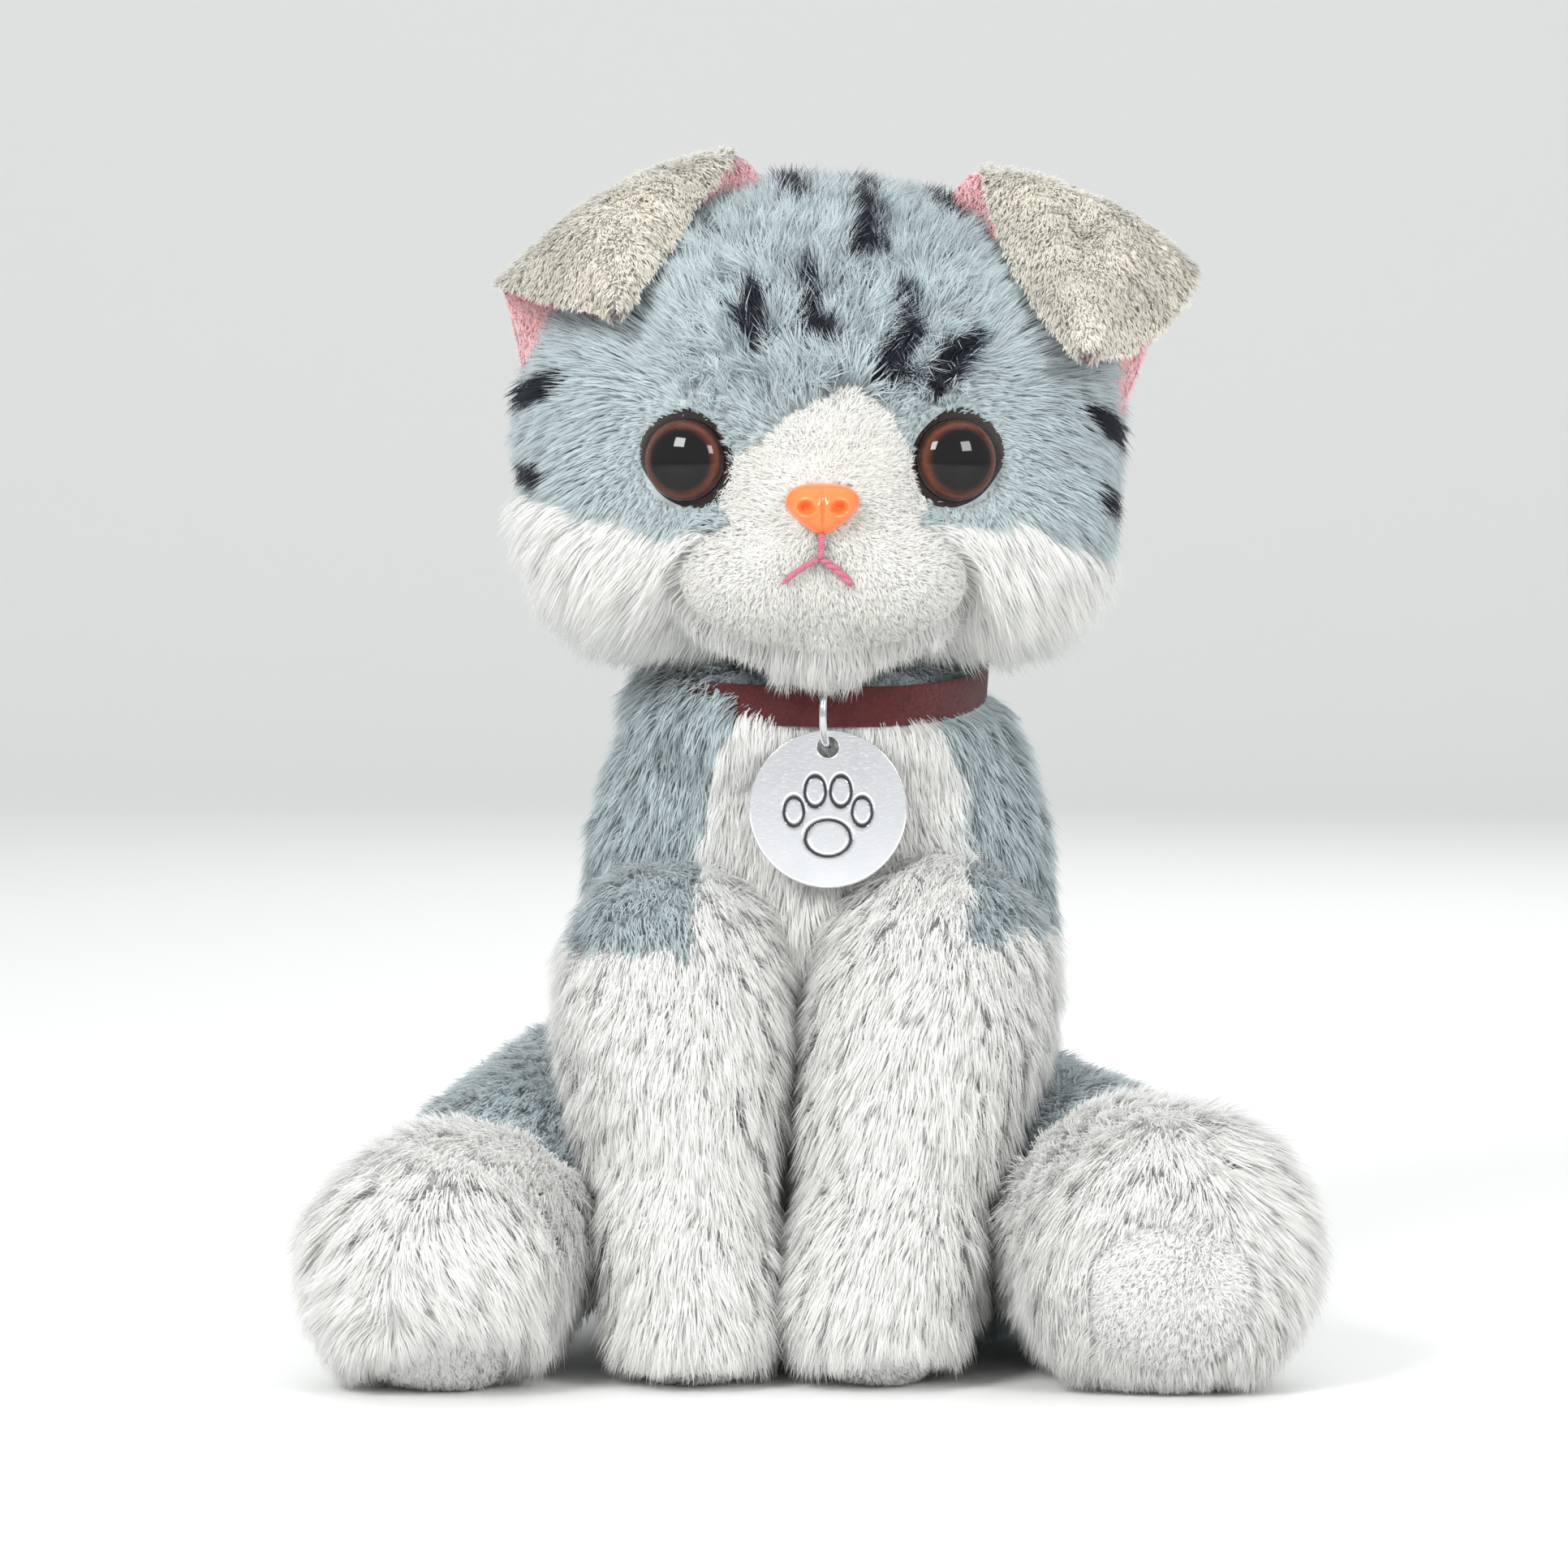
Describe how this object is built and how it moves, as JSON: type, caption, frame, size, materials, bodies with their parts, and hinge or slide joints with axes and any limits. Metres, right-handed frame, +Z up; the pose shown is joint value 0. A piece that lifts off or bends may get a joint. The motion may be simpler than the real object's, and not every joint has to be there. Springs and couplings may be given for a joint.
{
  "type": "plush cat",
  "caption": "Sitting plush cat with folded ears, long-pile paws, plastic eyes and nose, a suede collar and a round metal tag on a split ring.",
  "frame": {"origin": "bottom centre of the bounding box, on the surface the cat sits on", "axes": "+Z up, the face looks along -Y, +X is the side of the cat's own left paw"},
  "size_m": [0.1944, 0.1788, 0.2452],
  "materials": {
    "grey_plush": "cut pile",
    "striped_plush": "cut pile",
    "dark_plush": "cut pile",
    "white_plush": "long cut pile",
    "short_white_plush": "short pile",
    "fibre_fill": "polyester fibre",
    "pouch_cloth": "woven",
    "ear_plush": "short pile",
    "pink_lining": "short pile",
    "felt": "felt",
    "washer_plastic": "moulded",
    "eye_plastic": "polished",
    "nose_plastic": "satin",
    "mouth_thread": "twisted thread",
    "suede": "suede",
    "ring_steel": "polished",
    "tag_steel": "polished"
  },
  "bodies": {
    "torso": {"torso_back_panel": "grey_plush", "chest_panel": "white_plush", "base_panel": "grey_plush", "torso_stuffing": "fibre_fill", "bean_pouch": "pouch_cloth"},
    "neck": {"neck_stuffing": "fibre_fill"},
    "head": {"eye_left": "eye_plastic", "eye_patch_left": "felt", "eye_washer_left": "washer_plastic", "ear_back_left": "ear_plush", "ear_lining_left": "pink_lining", "eye_right": "eye_plastic", "eye_patch_right": "felt", "eye_washer_right": "washer_plastic", "ear_back_right": "ear_plush", "ear_lining_right": "pink_lining", "nose": "nose_plastic", "nose_washer": "washer_plastic", "mouth_stitches": "mouth_thread", "head_crown_panel": "striped_plush", "face_panel": "short_white_plush", "chin_panel": "white_plush", "head_side_left": "grey_plush", "cheek_left": "white_plush", "head_side_right": "grey_plush", "cheek_right": "white_plush", "muzzle_panel": "short_white_plush", "muzzle_stuffing": "fibre_fill", "head_stuffing": "fibre_fill"},
    "collar": {"collar_strap": "suede"},
    "ring": {"split_ring": "ring_steel"},
    "tag": {"tag": "tag_steel"},
    "foreleg_left": {"foreleg_sleeve_left": "grey_plush", "foreleg_paw_left": "white_plush", "foreleg_sole_left": "short_white_plush", "foreleg_stuffing_left": "fibre_fill"},
    "foreleg_right": {"foreleg_sleeve_right": "grey_plush", "foreleg_paw_right": "white_plush", "foreleg_sole_right": "short_white_plush", "foreleg_stuffing_right": "fibre_fill"},
    "hind_leg_left": {"hind_leg_thigh_left": "grey_plush", "hind_leg_foot_left": "white_plush", "hind_leg_sole_left": "short_white_plush", "hind_leg_stuffing_left": "fibre_fill"},
    "hind_leg_right": {"hind_leg_thigh_right": "grey_plush", "hind_leg_foot_right": "white_plush", "hind_leg_sole_right": "short_white_plush", "hind_leg_stuffing_right": "fibre_fill"},
    "tail": {"tail_cover": "grey_plush", "tail_tip": "dark_plush", "tail_stuffing": "fibre_fill"}
  },
  "joints": [
    {"name": "head_turn", "type": "hinge", "parent": "torso", "child": "neck", "pos_m": [0.00225, -0.00314, 0.14208], "axis": [0, 0, 1], "range_deg": [-25, 25], "stiffness_Nm_per_rad": 0.25},
    {"name": "head_nod", "type": "hinge", "parent": "neck", "child": "head", "pos_m": [0.00225, -0.00314, 0.14208], "axis": [1, 0, 0], "range_deg": [-12, 12], "stiffness_Nm_per_rad": 0.45},
    {"name": "collar_turn", "type": "hinge", "parent": "torso", "child": "collar", "pos_m": [0.00225, -0.00314, 0.14208], "axis": [0, -0.1132, 0.9936], "range_deg": [-7, 7]},
    {"name": "ring_swing", "type": "hinge", "parent": "collar", "child": "ring", "pos_m": [0.00385, -0.03715, 0.1376], "axis": [-1, 0, 0], "range_deg": [-5, 20]},
    {"name": "tag_swing", "type": "hinge", "parent": "ring", "child": "tag", "pos_m": [0.00385, -0.03715, 0.1263], "axis": [-1, 0, 0], "range_deg": [-4, 35]},
    {"name": "foreleg_swing_left", "type": "hinge", "parent": "torso", "child": "foreleg_left", "pos_m": [0.02625, -0.03295, 0.08], "axis": [-1, 0, 0], "range_deg": [0, 50], "stiffness_Nm_per_rad": 0.05},
    {"name": "foreleg_swing_right", "type": "hinge", "parent": "torso", "child": "foreleg_right", "pos_m": [-0.02775, -0.03295, 0.08], "axis": [-1, 0, 0], "range_deg": [0, 50], "stiffness_Nm_per_rad": 0.05},
    {"name": "hind_leg_spread_left", "type": "hinge", "parent": "torso", "child": "hind_leg_left", "pos_m": [0.04525, 0.00505, 0.034], "axis": [0, 0, 1], "range_deg": [0, 16], "stiffness_Nm_per_rad": 0.08},
    {"name": "hind_leg_spread_right", "type": "hinge", "parent": "torso", "child": "hind_leg_right", "pos_m": [-0.04725, 0.00705, 0.04], "axis": [0, 0, -1], "range_deg": [0, 16], "stiffness_Nm_per_rad": 0.08},
    {"name": "tail_swing", "type": "hinge", "parent": "torso", "child": "tail", "pos_m": [0.00107, 0.06305, 0.0085], "axis": [0, 0, 1], "range_deg": [-3, 20], "stiffness_Nm_per_rad": 0.03}
  ]
}
